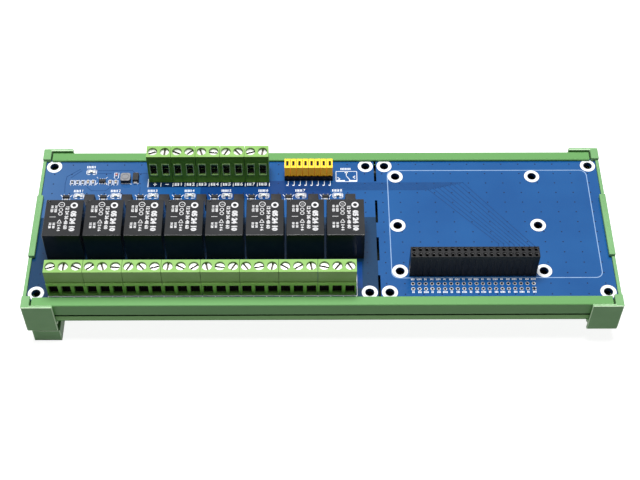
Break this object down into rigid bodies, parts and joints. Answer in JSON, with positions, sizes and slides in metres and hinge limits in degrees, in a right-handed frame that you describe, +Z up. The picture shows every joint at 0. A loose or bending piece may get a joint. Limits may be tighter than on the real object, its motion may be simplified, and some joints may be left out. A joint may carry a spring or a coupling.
{
  "type": "relay module board in a rail carrier",
  "caption": "Long circuit board with a row of relays, screw terminals and a tall pin socket, held in a snap-together carrier for a 35 mm rail.",
  "frame": {"origin": "middle of the footprint, on the surface that the two rail feet stand on", "axes": "+X along the board's long side towards the computer's end, +Y away from the output terminals, +Z up"},
  "size_m": [0.2374, 0.0818, 0.0386],
  "materials": {
    "board_laminate": "satin solder mask",
    "extruded_plastic": "satin extruded plastic",
    "moulded_plastic": "satin moulded plastic",
    "block_plastic": "satin moulded plastic",
    "relay_plastic": "glossy moulded plastic",
    "header_plastic": "matt moulded plastic",
    "jumper_plastic": "matt moulded plastic",
    "package_plastic": "matt epoxy",
    "clear_plastic": "clear epoxy lens",
    "ceramic": "fired ceramic with tinned ends",
    "ferrite": "ground ferrite",
    "plated_steel": "zinc-plated",
    "contact_metal": "plated"
  },
  "bodies": {
    "root": {"circuit_board": "board_laminate", "carrier_profile": "extruded_plastic", "end_piece_left": "moulded_plastic", "end_piece_right": "moulded_plastic", "end_screws": "plated_steel", "relay_1": "relay_plastic", "relay_2": "relay_plastic", "relay_3": "relay_plastic", "relay_4": "relay_plastic", "relay_5": "relay_plastic", "relay_6": "relay_plastic", "relay_7": "relay_plastic", "relay_8": "relay_plastic", "output_terminal_1": "block_plastic", "output_terminal_2": "block_plastic", "output_terminal_3": "block_plastic", "output_terminal_4": "block_plastic", "output_terminal_5": "block_plastic", "output_terminal_6": "block_plastic", "output_terminal_7": "block_plastic", "output_terminal_8": "block_plastic", "input_terminal_1": "block_plastic", "input_terminal_2": "block_plastic", "input_terminal_3": "block_plastic", "input_terminal_4": "block_plastic", "input_terminal_5": "block_plastic", "output_clamp_screws": "plated_steel", "output_clamp_frames": "contact_metal", "input_clamp_screws": "plated_steel", "input_clamp_frames": "contact_metal", "computer_socket": "header_plastic", "socket_contacts": "contact_metal", "jumper_header": "header_plastic", "jumper_cap_1": "jumper_plastic", "jumper_cap_2": "jumper_plastic", "jumper_cap_3": "jumper_plastic", "jumper_cap_4": "jumper_plastic", "jumper_cap_5": "jumper_plastic", "jumper_cap_6": "jumper_plastic", "jumper_cap_7": "jumper_plastic", "jumper_cap_8": "jumper_plastic", "optocouplers": "package_plastic", "transistors": "package_plastic", "channel_lamps": "clear_plastic", "power_lamp": "clear_plastic", "resistors": "ceramic", "capacitors": "ceramic", "regulator": "package_plastic", "power_inductor": "ferrite", "power_diode": "package_plastic"}
  },
  "joints": []
}
